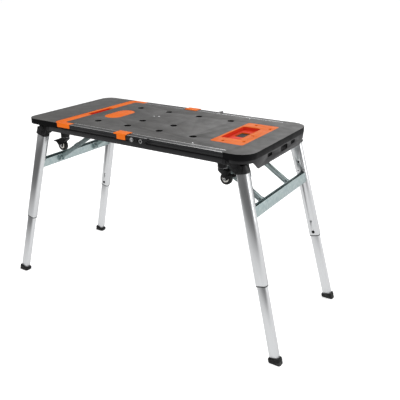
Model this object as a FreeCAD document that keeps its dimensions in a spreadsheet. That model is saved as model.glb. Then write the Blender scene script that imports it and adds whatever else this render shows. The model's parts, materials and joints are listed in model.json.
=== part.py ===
import FreeCAD, Part

import math
import os

import Sketcher
from FreeCAD import Placement, Rotation, Vector

# Folding work platform bench.  Millimetres, +X towards the fixed end, -Y the front, +Z up.
# The origin is on the floor, midway between the four feet.

os.makedirs("parts", exist_ok=True)
doc = FreeCAD.newDocument("work_platform_bench")

# ---------------------------------------------------------------- driving dimensions

DIMENSIONS = [
    ("top_z", 796.0, "height of the deck above the floor"),
    ("deck_right", 550.0, "fixed end of the deck"),
    ("deck_left", -565.0, "outer end of the pull-out slab, pushed in"),
    ("deck_half_width", 274.0, "half the width of the deck"),
    ("deck_depth", 24.0, "depth of the deck's moulded rim"),
    ("fixed_corner", 68.0, "corner radius at the fixed end"),
    ("slab_corner", 48.0, "corner radius at the pull-out end"),
    ("body_start", -355.0, "left edge of the fixed deck panel"),
    ("rib_depth", 17.0, "depth of the troughs under the deck"),
    ("rib_wall", 5.0, "thickness of the ribs"),
    ("inner_rib", 105.0, "inner pair of ribs under the deck"),
    ("outer_rib", 195.0, "outer pair of ribs under the deck"),
    ("edge_rib", 232.0, "outer edge of the troughs under the deck"),
    ("rail_inner", 242.0, "inner edge of the slide rails"),
    ("rail_depth", 18.0, "depth of the slide rails and the handle"),
    ("rail_end", 446.0, "right end of the slide rails"),
    ("rail_wall", 2.5, "wall of the slide rails"),
    ("slide_gap", 0.4, "clearance around the pull-out parts"),
    ("band_left", -402.0, "left edge of the handle band"),
    ("band_right", -358.0, "right edge of the handle band"),
    ("arm_end", -304.0, "end of the handle arms"),
    ("band_corner", 32.0, "outer corner radius of the handle"),
    ("inner_corner", 14.0, "inner corner radius of the handle"),
    ("hole_start", -252.0, "first column of clamp holes"),
    ("hole_pitch", 164.0, "pitch of the clamp holes"),
    ("hole_row", 150.0, "outer rows of clamp holes"),
    ("middle_row", 48.0, "offset of the middle row of clamp holes"),
    ("hole_radius", 15.0, "radius of the clamp holes"),
    ("grip_x", -256.0, "centre of the grip insert"),
    ("grip_half_length", 82.0, "half length of the grip insert"),
    ("grip_radius", 42.0, "end radius of the grip insert"),
    ("grip_depth", 4.0, "depth of the grip insert"),
    ("tray_left", 322.0, "left edge of the tool tray"),
    ("tray_right", 464.0, "right edge of the tool tray"),
    ("tray_half_width", 162.0, "half width of the tool tray"),
    ("tray_depth", 19.0, "depth of the tool tray"),
    ("apron_drop", 42.0, "depth of the end apron under the deck"),
    ("apron_wall", 5.0, "wall of the end apron"),
    ("frame_drop", 22.0, "depth of the steel frame under the deck"),
    ("frame_half_length", 440.0, "half length of the side channels"),
    ("frame_outer", 266.0, "outer face of the side channels"),
    ("sheet_steel", 3.0, "thickness of the frame's sheet steel"),
    ("member_x", 346.0, "place of the outer cross members"),
    ("member_width", 24.0, "width of a cross member"),
    ("pivot_x", 495.3, "leg hinge, along X"),
    ("pivot_z", 736.0, "leg hinge, above the floor"),
    ("pivot_offset", 10.0, "leg centre line outboard of its hinge"),
    ("leg_y", 238.4, "leg centre line at the hinge"),
    ("foot_x", 698.0, "foot centre along X"),
    ("foot_y", 282.0, "foot centre along Y"),
    ("hinge_pin_radius", 5.0, "radius of the leg hinge pins"),
    ("running_clearance", 0.05, "radial clearance of a pin in its bore"),
    ("leg_width", 46.0, "upper leg section in the folding plane"),
    ("leg_thick", 30.0, "upper leg section across the folding plane"),
    ("leg_wall", 3.0, "wall of the upper leg"),
    ("leg_corner", 9.0, "corner radius of the upper leg"),
    ("cap_rise", 10.0, "height of the leg cap over the hinge"),
    ("cap_end", 20.0, "bottom of the leg cap's sleeve, measured from the hinge"),
    ("leg_start", 9.0, "top of the upper leg, measured from the hinge"),
    ("leg_end", 447.0, "bottom of the upper leg"),
    ("collar_end", 452.0, "bottom of the bush under the upper leg"),
    ("tube_gap", 0.3, "clearance between the telescoping tubes"),
    ("inner_start", 330.0, "top of the lower leg, measured from the hinge"),
    ("inner_wall", 2.5, "wall of the lower leg"),
    ("foot_top", 744.0, "top of the foot, measured from the hinge"),
    ("foot_socket", 12.0, "depth of the foot's socket"),
    ("foot_width", 50.0, "foot section in the folding plane"),
    ("foot_thick", 34.0, "foot section across the folding plane"),
    ("gate_hole", 101.0, "place of the upper height hole"),
    ("gate_hole_radius", 5.0, "radius of the height holes"),
    ("detent_hole", 379.0, "place of the lower height hole"),
    ("button_place", 431.0, "place of the lock button"),
    ("button_radius", 5.0, "radius of the lock button"),
    ("button_proud", 3.0, "how far the lock button stands out"),
    ("bar_top", 152.0, "top of the crossbar, measured from the hinge"),
    ("bar_height", 40.0, "height of the crossbar"),
    ("bar_depth", 24.0, "depth of the crossbar"),
    ("bar_back", 4.0, "inboard face of the crossbar, measured from the hinge"),
    ("bar_sheet", 2.5, "thickness of the crossbar's sheet"),
    ("brace_y", 119.0, "place of the braces"),
    ("brace_down", 158.0, "brace pivot, measured down the leg"),
    ("brace_in", 6.0, "brace pivot, inboard of the hinge line"),
    ("brace_top_x", 290.0, "upper end of the brace along X"),
    ("brace_top_z", 736.5, "upper end of the brace above the floor"),
    ("brace_radius", 9.0, "half height of the brace"),
    ("brace_half_width", 8.0, "half width of the brace"),
    ("brace_sheet", 2.0, "thickness of the brace's sheet"),
    ("brace_pin_radius", 4.0, "radius of the brace pins"),
    ("rod_radius", 4.5, "radius of the rod between the braces"),
    ("guide_start", 38.0, "inner end of the brace guides"),
    ("guide_end", 330.0, "outer end of the brace guides"),
    ("guide_half", 15.0, "half width of a brace guide"),
    ("guide_wall", 2.0, "wall of a brace guide"),
    ("guide_drop", 30.0, "depth of a brace guide"),
    ("caster_x", 406.0, "swivel axis of a caster along X"),
    ("caster_y", 204.0, "swivel axis of a caster along Y"),
    ("caster_trail", 18.0, "trail of a caster wheel"),
    ("hub_z", 674.0, "caster axle above the floor"),
    ("wheel_radius", 24.0, "radius of a caster wheel"),
    ("wheel_half", 9.0, "half width of a caster wheel"),
    ("axle_radius", 3.0, "radius of a caster axle"),
    ("stem_radius", 6.0, "radius of a caster's swivel stem"),
    ("fork_inner", 10.3, "inner face of a caster fork's cheeks"),
    ("fork_wall", 2.5, "thickness of a caster fork's cheeks"),
    ("clip_left", -58.0, "left edge of a rail clip"),
    ("clip_right", 6.0, "right edge of a rail clip"),
    ("clip_wall", 2.4, "wall of a rail clip"),
    ("clip_sink", 2.0, "how deep a rail clip is let into the deck"),
    ("screw_sink", 1.0, "how deep the screw heads are sunk"),
    ("latch_left", 22.0, "left edge of a latch"),
    ("latch_right", 104.0, "right edge of a latch"),
]

sheet = doc.addObject("Spreadsheet::Sheet", "dims")
size = {}
for row, (alias, number, note) in enumerate(DIMENSIONS, start=1):
    sheet.set("A%d" % row, note)
    sheet.set("B%d" % row, str(number))
    sheet.setAlias("B%d" % row, alias)
    size[alias] = number
doc.recompute()

SIDES = {"left": -1, "right": 1}
FACES = {"front": -1, "back": 1}
CORNERS = [(end, face, SIDES[end], FACES[face]) for end in SIDES for face in FACES]
nodes = []

# ---------------------------------------------------------------- helpers


def formula(text):
    """Turn a formula in the sheet's aliases into one that the document reads."""
    words = []
    for word in str(text).replace("(", " ( ").replace(")", " ) ").split():
        words.append("dims." + word if word in size else word)
    return " ".join(words)


def box(name, low, high):
    """A block between two corners, each coordinate a formula."""
    block = doc.addObject("Part::Box", name)
    for axis, side, start, end in zip("xyz", ("Length", "Width", "Height"), low, high):
        block.setExpression(side, formula("( %s ) - ( %s )" % (end, start)))
        block.setExpression("Placement.Base." + axis, formula(start))
    return block


def rod(name, radius, length, base, direction):
    """A cylinder from a point, along a direction."""
    cylinder = doc.addObject("Part::Cylinder", name)
    cylinder.setExpression("Radius", formula(radius))
    cylinder.setExpression("Height", formula(length))
    cylinder.Placement = Placement(Vector(*base), Rotation(Vector(0, 0, 1), Vector(*direction)))
    return cylinder


def fuse(name, shapes):
    """One solid from several that touch or overlap."""
    joined = doc.addObject("Part::MultiFuse", name)
    joined.Shapes = shapes
    joined.Refine = True
    return joined


def cut(name, base, *tools):
    """A solid with every tool taken out of it."""
    for index, tool in enumerate(tools):
        result = doc.addObject("Part::Cut", "%s_cut%d" % (name, index))
        result.Base = base
        result.Tool = tool
        base = result
    return base


def group(name, shapes):
    """Several separate solids that share a node."""
    compound = doc.addObject("Part::Compound", name + "_group")
    compound.Links = shapes
    return compound


def keep(node, obj):
    """Name a finished sub-part after its node."""
    obj.Label = node
    nodes.append((node, obj))
    return obj


def new_body(name, placement=None):
    """An empty body, placed in the document."""
    body = doc.addObject("PartDesign::Body", name + "_body")
    if placement is not None:
        body.Placement = placement
    return body


def sketch(body, plane, offset="0"):
    """A sketch on one of a body's own origin planes, moved along the plane's normal."""
    drawing = body.newObject("Sketcher::SketchObject", body.Name + "_sketch")
    origin_plane = [item for item in body.Origin.OriginFeatures if item.Role == plane][0]
    drawing.AttachmentSupport = [(origin_plane, "")]
    drawing.MapMode = "FlatFace"
    drawing.setExpression("AttachmentOffset.Base.z", formula(offset))
    return drawing


def draw_loop(drawing, corners):
    """A closed outline through (x, y, radius) corners, each rounded by its radius."""
    count = len(corners)
    points = [Vector(x, y, 0) for x, y, _ in corners]
    starts, ends = [], []
    for index in range(count):
        here = points[index]
        before = (points[index - 1] - here).normalize()
        after = (points[(index + 1) % count] - here).normalize()
        radius = corners[index][2]
        reach = radius / math.tan(before.getAngle(after) / 2) if radius else 0.0
        starts.append(here + before * reach)
        ends.append(here + after * reach)
        if radius:
            middle = (before + after).normalize()
            far = radius / math.sin(before.getAngle(after) / 2)
            through = here + middle * (far - radius)
            drawing.addGeometry(Part.Arc(starts[-1], through, ends[-1]), False)
    for index in range(count):
        drawing.addGeometry(Part.LineSegment(ends[index], starts[(index + 1) % count]), False)


def rectangle(drawing, low, high, radius=0.0):
    """An upright rectangle between two corners."""
    draw_loop(drawing, [(low[0], low[1], radius), (high[0], low[1], radius),
                        (high[0], high[1], radius), (low[0], high[1], radius)])


def circle(drawing, x, y, radius):
    """A full circle whose radius follows the sheet when it is given as an alias."""
    value = size[radius] if radius in size else radius
    ring = drawing.addGeometry(Part.Circle(Vector(x, y, 0), Vector(0, 0, 1), value), False)
    if radius in size:
        constraint = drawing.addConstraint(Sketcher.Constraint("Radius", ring, value))
        drawing.setExpression("Constraints[%d]" % constraint, formula(radius))


def pad(body, drawing, length, middle=False):
    """Add material from a sketch, along its normal or both ways."""
    feature = body.newObject("PartDesign::Pad", body.Name + "_pad")
    feature.Profile = drawing
    feature.setExpression("Length", formula(length))
    feature.Midplane = middle
    doc.recompute()
    return feature


def pocket(body, drawing, depth, reverse=False, middle=False):
    """Take material away against the sketch's normal, along it, or both ways."""
    before = body.Shape.Volume
    feature = body.newObject("PartDesign::Pocket", body.Name + "_pocket")
    feature.Profile = drawing
    feature.setExpression("Length", formula(depth))
    feature.Reversed = reverse
    feature.Midplane = middle
    doc.recompute()
    if body.Shape.Volume > before - 1.0:
        raise RuntimeError("a pocket in %s cut nothing" % body.Name)
    return feature


# ---------------------------------------------------------------- frames of the parts that lean

DECK_BOTTOM = size["top_z"] - size["deck_depth"]
PLATE_BOTTOM = DECK_BOTTOM - size["sheet_steel"]
BRACKET_BOTTOM = PLATE_BOTTOM - size["sheet_steel"]


def fold_angles():
    """Lean of the legs in the folding plane, and the unit vectors down and out, at the right end."""
    # The hinge lies pivot_offset inboard of the centre line, which ends at the foot's centre.
    reach = math.hypot(size["foot_x"] - size["pivot_x"], size["pivot_z"])
    drop = math.atan2(size["foot_x"] - size["pivot_x"], size["pivot_z"])
    lean = drop - math.asin(size["pivot_offset"] / reach)
    return lean


LEAN = fold_angles()
DOWN_X, DOWN_Z = math.sin(LEAN), -math.cos(LEAN)
OUT_X, OUT_Z = math.cos(LEAN), math.sin(LEAN)
LEG_TOP_X = size["pivot_x"] + size["pivot_offset"] * OUT_X
LEG_TOP_Z = size["pivot_z"] + size["pivot_offset"] * OUT_Z
SPLAY_RUN = math.hypot(size["foot_x"] - LEG_TOP_X, LEG_TOP_Z)
SPLAY = math.atan2(size["foot_y"] - size["leg_y"], SPLAY_RUN)


def frame_placement(origin, x_axis, z_axis):
    """A placement whose X and Z axes are given."""
    x_axis, z_axis = Vector(*x_axis), Vector(*z_axis)
    return Placement(Vector(*origin), Rotation(x_axis, z_axis.cross(x_axis), z_axis, "ZXY"))


def leg_frame(end, face):
    """Leg frame: X outboard in the folding plane, Z down the splayed leg, origin level with the hinge."""
    origin = (end * LEG_TOP_X, face * size["leg_y"], LEG_TOP_Z)
    down = Vector(end * DOWN_X * math.cos(SPLAY), face * math.sin(SPLAY), DOWN_Z * math.cos(SPLAY))
    return frame_placement(origin, (end * OUT_X, 0, OUT_Z), down)


def hinge_frame(end):
    """Frame on the hinge line: X outboard in the folding plane, Z down it, Y across the bench."""
    origin = (end * size["pivot_x"], 0, size["pivot_z"])
    return frame_placement(origin, (end * OUT_X, 0, OUT_Z), (end * DOWN_X, 0, DOWN_Z))


def from_hinge(end, out, down):
    """A point of the folding plane, given out from and down from the hinge."""
    x = size["pivot_x"] + out * OUT_X + down * DOWN_X
    return end * x, size["pivot_z"] + out * OUT_Z + down * DOWN_Z


def leg_centre_y(down):
    """Distance of a leg's centre line from the middle of the bench, level with a point down it."""
    return size["leg_y"] + down * math.tan(SPLAY)


# ---------------------------------------------------------------- deck


def column_x(index):
    return size["hole_start"] + index * size["hole_pitch"]


SCREWS = [(-96.0, 47.0), (-76.0, 57.0)]
SCREW_HEAD = 4.5
CLIP_INNER = 234.0


def make_deck():
    """Fixed deck panel: rounded slab, rail grooves, ribs underneath, clamp holes and insert seats."""
    body = new_body("deck")
    right, half, corner = size["deck_right"], size["deck_half_width"], size["fixed_corner"]
    left = size["body_start"]
    outline = sketch(body, "XY_Plane", "top_z - deck_depth")
    draw_loop(outline, [(left, -half, 0), (right, -half, corner), (right, half, corner), (left, half, 0)])
    pad(body, outline, "deck_depth")

    groove_end = size["rail_end"] + 1.0
    groove_inner = size["rail_inner"] - size["slide_gap"]
    past_edge = 1.0
    grooves = sketch(body, "XY_Plane", "top_z")
    for face in FACES.values():
        inner, outer = face * groove_inner, face * (half + past_edge)
        shoulder = face * (groove_inner - 1.5 * size["inner_corner"])
        draw_loop(grooves, [(left - past_edge, shoulder, 0), (left, shoulder, 0),
                            (left, inner, size["inner_corner"]), (groove_end, inner, 0),
                            (groove_end, outer, 0), (left - past_edge, outer, 0)])
    pocket(body, grooves, "rail_depth + slide_gap")

    # Troughs between the lengthwise ribs, from the handle end to the tool tray.
    trough_start = left + 2.5 * size["rib_wall"]
    trough_end = column_x(3) + size["hole_pitch"] / 4
    rib_rows = [0.0, size["inner_rib"], size["outer_rib"], size["edge_rib"]]
    gap = size["rib_wall"] / 2
    troughs = sketch(body, "XY_Plane", "top_z - deck_depth")
    for face in FACES.values():
        for y_low, y_high in zip(rib_rows, rib_rows[1:]):
            rows = sorted((face * (y_low + gap), face * (y_high - gap)))
            rectangle(troughs, (trough_start, rows[0]), (trough_end, rows[1]))
    pocket(body, troughs, "rib_depth", reverse=True)

    holes = sketch(body, "XY_Plane", "top_z")
    for column in range(4):
        for face in FACES.values():
            circle(holes, column_x(column), face * size["hole_row"], "hole_radius")
    for column in (1, 2):
        circle(holes, column_x(column), -size["middle_row"], "hole_radius")
    pocket(body, holes, "deck_depth")

    tray_gap = size["slide_gap"]
    seats = sketch(body, "XY_Plane", "top_z")
    tray_low = (size["tray_left"] - tray_gap, -size["tray_half_width"] - tray_gap)
    tray_high = (size["tray_right"] + tray_gap, size["tray_half_width"] + tray_gap)
    rectangle(seats, tray_low, tray_high, 12.0)
    pocket(body, seats, "tray_depth")

    screw_seats = sketch(body, "XY_Plane", "top_z")
    for x, y in SCREWS:
        circle(screw_seats, x, y, SCREW_HEAD + 0.4)
    pocket(body, screw_seats, "screw_sink")

    clip_seats = sketch(body, "XY_Plane", "top_z")
    for face in FACES.values():
        rows = sorted((face * CLIP_INNER, face * (groove_inner + past_edge)))
        rectangle(clip_seats, (size["clip_left"], rows[0]), (size["clip_right"], rows[1]))
    pocket(body, clip_seats, "clip_sink")

    grip_seat = sketch(body, "XY_Plane", "top_z")
    draw_stadium(grip_seat, size["grip_x"], size["grip_half_length"], size["grip_radius"])
    pocket(body, grip_seat, "grip_depth")
    return body


def draw_stadium(drawing, x, half_length, radius, y=0.0):
    """An oval with round ends, long way along the sketch's Y."""
    straight = half_length - radius
    for side in (-1, 1):
        centre = Vector(x, y + side * straight, 0)
        tip = centre + Vector(0, side * radius, 0)
        across = Vector(radius, 0, 0)
        drawing.addGeometry(Part.Arc(centre - across, tip, centre + across), False)
        wall = x + side * radius
        edge = Part.LineSegment(Vector(wall, y - straight, 0), Vector(wall, y + straight, 0))
        drawing.addGeometry(edge, False)


def make_grip_insert():
    """Ribbed oval pad let into the deck."""
    body = new_body("grip")
    oval = sketch(body, "XY_Plane", "top_z - grip_depth")
    draw_stadium(oval, size["grip_x"], size["grip_half_length"], size["grip_radius"])
    pad(body, oval, "grip_depth")
    return body


def make_tool_tray():
    """Shallow tray with a raised rim, a deep well and drilled rests for bits."""
    body = new_body("tray")
    outline = sketch(body, "XY_Plane", "top_z - tray_depth")
    left, right, half = size["tray_left"], size["tray_right"], size["tray_half_width"]
    rectangle(outline, (left, -half), (right, half), 11.6)
    pad(body, outline, "tray_depth")
    recess = sketch(body, "XY_Plane", "top_z")
    rectangle(recess, (left + 10, -half + 66), (right - 50, half - 66), 10.0)
    pocket(body, recess, "tray_depth - 5")
    well = sketch(body, "XY_Plane", "top_z")
    rectangle(well, (left + 26, -18), (right - 66, 52), 8.0)
    pocket(body, well, "tray_depth")
    rests = sketch(body, "XY_Plane", "top_z")
    for face in FACES.values():
        circle(rests, right - 96, face * (half - 24), 7.0)
        circle(rests, right - 20, face * (half - 50), 7.0)
    circle(rests, right - 30, -20.0, 7.0)
    pocket(body, rests, "tray_depth - 4")
    return body


def make_end_apron():
    """Skirt under the fixed end, cut back over the legs, with a hand hold and two slots."""
    body = new_body("apron")
    edge = 1.5
    right, half = size["deck_right"] - edge, size["deck_half_width"] - edge
    start, wall = 472.0, size["apron_wall"]
    corner = size["fixed_corner"] - edge
    inner = corner - wall
    outline = sketch(body, "XY_Plane", "top_z - deck_depth - apron_drop")
    draw_loop(outline, [(start, -half, 0), (right, -half, corner), (right, half, corner), (start, half, 0),
                        (start, half - wall, 0), (right - wall, half - wall, inner),
                        (right - wall, -half + wall, inner), (start, -half + wall, 0)])
    pad(body, outline, "apron_drop")
    low, high = DECK_BOTTOM - size["apron_drop"], DECK_BOTTOM - 12.0
    lift = sketch(body, "YZ_Plane", "deck_right + 1")
    for face in FACES.values():
        draw_loop(lift, [(face * 190, low - 1, 0), (face * 190, low, 0), (face * 226, high, 0),
                         (face * 280, high, 0), (face * 280, low - 1, 0)])
    pocket(body, lift, "90")
    openings = sketch(body, "YZ_Plane", "deck_right + 1")
    rectangle(openings, (-3, 745), (57, 767), 8.0)
    for middle in (-99, 109):
        rectangle(openings, (middle - 19, 753), (middle + 19, 767), 5.0)
    pocket(body, openings, "12")
    return body


keep("deck_panel", make_deck())
keep("grip_insert", make_grip_insert())
keep("tool_tray", make_tool_tray())
keep("right_end_apron", make_end_apron())


def make_screws():
    """Screw heads sunk into the deck."""
    heads = []
    for index, (x, y) in enumerate(SCREWS):
        seat = (x, y, size["top_z"] - size["screw_sink"])
        heads.append(rod("deck_screw%d" % index, SCREW_HEAD, 1.2, seat, (0, 0, 1)))
    return group("deck_screws", heads)


keep("deck_screws", make_screws())

# ---------------------------------------------------------------- steel frame under the deck

FRAME_BOTTOM = "top_z - deck_depth - frame_drop"
FRAME_TOP = "top_z - deck_depth"


def make_side_channel(name, face):
    """C-shaped side channel, open towards the middle."""
    body = new_body(name)
    outer, wall, flange = size["frame_outer"], size["sheet_steel"], 10.0
    low, high = DECK_BOTTOM - size["frame_drop"], DECK_BOTTOM
    profile = sketch(body, "YZ_Plane")
    draw_loop(profile, [(face * outer, low, 0), (face * outer, high, 0), (face * (outer - flange), high, 0),
                        (face * (outer - flange), high - wall, 0), (face * (outer - wall), high - wall, 0),
                        (face * (outer - wall), low + wall, 0), (face * (outer - flange), low + wall, 0),
                        (face * (outer - flange), low, 0)])
    pad(body, profile, "frame_half_length * 2", middle=True)
    return body


for face_name, face in FACES.items():
    keep("side_channel_" + face_name, make_side_channel("channel_" + face_name, face))


def make_cross_members():
    """Three box tubes across the frame."""
    tubes = []
    for index, place in enumerate(("0 - member_x", "0", "member_x")):
        half = "member_width / 2"
        outer = box("member%d" % index, ("%s - %s" % (place, half), "12 - frame_outer", FRAME_BOTTOM),
                    ("%s + %s" % (place, half), "frame_outer - 12", FRAME_TOP))
        inner = box("member_hollow%d" % index,
                    ("%s - %s + 2" % (place, half), "0 - frame_outer", FRAME_BOTTOM + " + 2"),
                    ("%s + %s - 2" % (place, half), "frame_outer", FRAME_TOP + " - 2"))
        tubes.append(cut("member%d" % index, outer, inner))
    return group("cross_members", tubes)


keep("cross_members", make_cross_members())


def make_end_plates():
    """Sheet steel plates under the ends, which carry the casters and the leg brackets."""
    plates = []
    for name, end in SIDES.items():
        body = new_body("end_plate_" + name)
        outline = sketch(body, "XY_Plane", "top_z - deck_depth - sheet_steel")
        near, step, far = 360.0, size["frame_half_length"] + 1.0, 521.0
        narrow, wide = size["frame_outer"] - 11.0, 262.0
        draw_loop(outline, [(end * near, -narrow, 0), (end * step, -narrow, 0), (end * step, -wide, 0),
                            (end * far, -wide, 40), (end * far, wide, 40), (end * step, wide, 0),
                            (end * step, narrow, 0), (end * near, narrow, 0)])
        pad(body, outline, "sheet_steel")
        plates.append(body)
    return group("end_plates", plates)


keep("end_plates", make_end_plates())


def make_brace_guides():
    """Inverted channels that the upper ends of the braces run in."""
    guides = []
    for name, end in SIDES.items():
        for face_name, face in FACES.items():
            tag = "guide_%s_%s" % (name, face_name)
            start, finish = sorted((end * size["guide_start"], end * size["guide_end"]))
            middle = "%d * brace_y" % face
            outer = box(tag, (start, middle + " - guide_half", "top_z - deck_depth - guide_drop"),
                        (finish, middle + " + guide_half", FRAME_TOP))
            inner = box(tag + "_hollow",
                        (start - 1, middle + " - guide_half + guide_wall",
                         "top_z - deck_depth - guide_drop - 1"),
                        (finish + 1, middle + " + guide_half - guide_wall", FRAME_TOP + " - guide_wall"))
            guides.append(cut(tag, outer, inner))
    return group("brace_guides", guides)


keep("brace_guides", make_brace_guides())

# ---------------------------------------------------------------- leg brackets and hinge pins

EAR_INNER = (216.0, 219.5)
EAR_OUTER = (258.6, 262.0)


def make_bracket(name, end, face):
    """Folded steel bracket: a top plate and two ears that hold a hinge pin."""
    x, z = end * size["pivot_x"], size["pivot_z"]
    plate_rows = sorted((face * EAR_INNER[0], face * EAR_OUTER[1]))
    plate_ends = sorted((end * 472.0, end * 504.0))
    parts = [box(name + "_plate", (plate_ends[0], plate_rows[0], BRACKET_BOTTOM),
                 (plate_ends[1], plate_rows[1], PLATE_BOTTOM))]
    for index, rows in enumerate((EAR_INNER, EAR_OUTER)):
        body = new_body("%s_ear%d" % (name, index))
        profile = sketch(body, "XZ_Plane", "%f" % (-min(face * rows[0], face * rows[1])))
        draw_loop(profile, [(end * 446, PLATE_BOTTOM, 0), (end * 497, PLATE_BOTTOM, 0),
                            (end * 516, z + 12, 3), (end * 516, z - 12, 8), (x, z - 18, 12),
                            (x - end * 20, z - 6, 8), (end * 462, z + 13, 12), (end * 446, z + 15, 2)])
        feature = pad(body, profile, rows[1] - rows[0])
        feature.Reversed = True
        parts.append(body)
    boss_base = (x - end * 8, face * EAR_OUTER[1], z + 20)
    parts.append(rod(name + "_boss", 12.0, 2.5, boss_base, (0, face, 0)))
    joined = fuse(name, parts)
    bore = rod(name + "_bore", "hinge_pin_radius", 80.0, (x, face * 200.0, z), (0, face, 0))
    return cut(name, joined, bore)


def make_hinge_pin(name, end, face):
    """Hinge pin with a head outside each ear."""
    x, z = end * size["pivot_x"], size["pivot_z"]
    inner, outer = EAR_INNER[0], EAR_OUTER[1]
    shank = rod(name + "_shank", "hinge_pin_radius", outer - inner, (x, face * inner, z), (0, face, 0))
    inner_head = rod(name + "_inner_head", 8.0, 2.5, (x, face * inner, z), (0, -face, 0))
    outer_head = rod(name + "_outer_head", 7.0, 2.0, (x, face * outer, z), (0, face, 0))
    return fuse(name, [shank, inner_head, outer_head])


keep("leg_brackets", group("leg_brackets", [make_bracket("bracket_%s_%s" % (end_name, face_name), end, face)
                                            for end_name, face_name, end, face in CORNERS]))
keep("hinge_pins", group("hinge_pins", [make_hinge_pin("hinge_pin_%s_%s" % (end_name, face_name), end, face)
                                        for end_name, face_name, end, face in CORNERS]))

# ---------------------------------------------------------------- pull-out end, handle and slide rails


def make_end_slab():
    """End slab that pulls out with the handle, hollowed underneath."""
    body = new_body("slab")
    left, half = size["deck_left"], size["deck_half_width"]
    band, corner = size["band_left"], size["band_corner"]
    arc_x, arc_y, radius = band + corner, half - corner, corner + size["slide_gap"]
    lip = -376.0
    lip_y = arc_y + math.sqrt(radius ** 2 - (lip - arc_x) ** 2)
    outline = sketch(body, "XY_Plane", "top_z - deck_depth + slide_gap")
    edge = [Vector(band - size["slide_gap"], 0, 0)]
    edge.append(Vector(band - size["slide_gap"], arc_y, 0))
    edge.append(Vector(lip, lip_y, 0))
    edge.append(Vector(lip, half, 0))
    edge.append(Vector(left + size["slab_corner"], half, 0))
    edge.append(Vector(left, half - size["slab_corner"], 0))
    edge.append(Vector(left, 0, 0))
    through_band = Vector(arc_x + radius * math.cos(math.radians(140)),
                          arc_y + radius * math.sin(math.radians(140)), 0)
    through_corner = Vector(left + size["slab_corner"] * (1 - math.sqrt(0.5)),
                            half - size["slab_corner"] * (1 - math.sqrt(0.5)), 0)
    for side in (-1, 1):
        flip = [Vector(point.x, side * point.y, 0) for point in edge + [through_band, through_corner]]
        outline.addGeometry(Part.LineSegment(flip[0], flip[1]), False)
        outline.addGeometry(Part.Arc(flip[1], flip[7], flip[2]), False)
        outline.addGeometry(Part.LineSegment(flip[2], flip[3]), False)
        outline.addGeometry(Part.LineSegment(flip[3], flip[4]), False)
        outline.addGeometry(Part.Arc(flip[4], flip[8], flip[5]), False)
        outline.addGeometry(Part.LineSegment(flip[5], flip[6]), False)
    pad(body, outline, "deck_depth - slide_gap")
    cells = sketch(body, "XY_Plane", "top_z - deck_depth")
    for side in (-1, 1):
        middle = side * (half / 2 - 12.0)
        rectangle(cells, (left + 14, middle - 120), (band - 12, middle + 120), 8.0)
    pocket(body, cells, "deck_depth - 9", reverse=True)
    return body


def make_handle():
    """U-shaped handle: a band across the deck, an arm along each side and a finger recess."""
    body = new_body("handle")
    half, inner = size["deck_half_width"], size["rail_inner"] + 0.5
    left, right, end = size["band_left"], size["band_right"], size["arm_end"]
    outline = sketch(body, "XY_Plane", "top_z - rail_depth")
    outer_corner, inner_corner = size["band_corner"], size["inner_corner"]
    draw_loop(outline, [(end, -half, 0), (left, -half, outer_corner), (left, half, outer_corner),
                        (end, half, 0), (end, inner, 0), (right, inner, inner_corner),
                        (right, -inner, inner_corner), (end, -inner, 0)])
    pad(body, outline, "rail_depth")
    recess = sketch(body, "XY_Plane", "top_z")
    rectangle(recess, (right - 26, -75), (right + 5, 75), 4.0)
    pocket(body, recess, "12")
    return body


def make_slide_rail(name, face):
    """Hollow slide rail with a shallow groove along its outer side."""
    body = new_body(name)
    inner, outer = size["rail_inner"], size["deck_half_width"]
    low, high, wall = size["top_z"] - size["rail_depth"], size["top_z"], size["rail_wall"]
    profile = sketch(body, "YZ_Plane", "arm_end")
    rows = sorted((face * inner, face * outer))
    rectangle(profile, (rows[0], low), (rows[1], high), 1.2)
    rectangle(profile, (rows[0] + wall, low + wall), (rows[1] - wall, high - wall))
    pad(body, profile, "rail_end - arm_end")
    groove = sketch(body, "YZ_Plane", "arm_end")
    rows = sorted((face * (outer - 1.0), face * (outer + 1.0)))
    rectangle(groove, (rows[0], low + 5.0), (rows[1], low + 11.0))
    pocket(body, groove, "rail_end - arm_end", reverse=True)
    return body


keep("end_slab", make_end_slab())
keep("handle_frame", make_handle())
for face_name, face in FACES.items():
    keep("slide_rail_" + face_name, make_slide_rail("rail_" + face_name, face))


def make_rail_clip(name, face):
    """Clip over a slide rail: a strap let into the deck and a tab down the outer side."""
    lift = 0.4
    strap_rows = sorted((face * CLIP_INNER, face * (size["deck_half_width"] + lift + size["clip_wall"])))
    strap = box(name + "_strap", ("clip_left", strap_rows[0], "top_z - clip_sink"),
                ("clip_right", strap_rows[1], "top_z + %f + clip_wall" % lift))
    relief_rows = sorted((face * (size["rail_inner"] - 1.0), face * (size["deck_half_width"] + lift)))
    relief = box(name + "_relief", ("clip_left - 1", relief_rows[0], "top_z - clip_sink - 1"),
                 ("clip_right + 1", relief_rows[1], "top_z + %f" % lift))
    tab_rows = sorted((face * (size["deck_half_width"] + lift),
                       face * (size["deck_half_width"] + lift + size["clip_wall"])))
    tab = box(name + "_tab", ("clip_left + 16", tab_rows[0], "top_z - 21"),
              ("clip_right - 4", tab_rows[1], "top_z + %f" % lift))
    return fuse(name, [cut(name, strap, relief), tab])


keep("rail_clips", group("rail_clips", [make_rail_clip("clip_" + face_name, face)
                                        for face_name, face in FACES.items()]))

# ---------------------------------------------------------------- rail latches

LATCH_PIVOT = (84.0, 784.0)
LATCH_FACE = size["deck_half_width"] + 0.4
LATCH_PIN = 2.5


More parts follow.
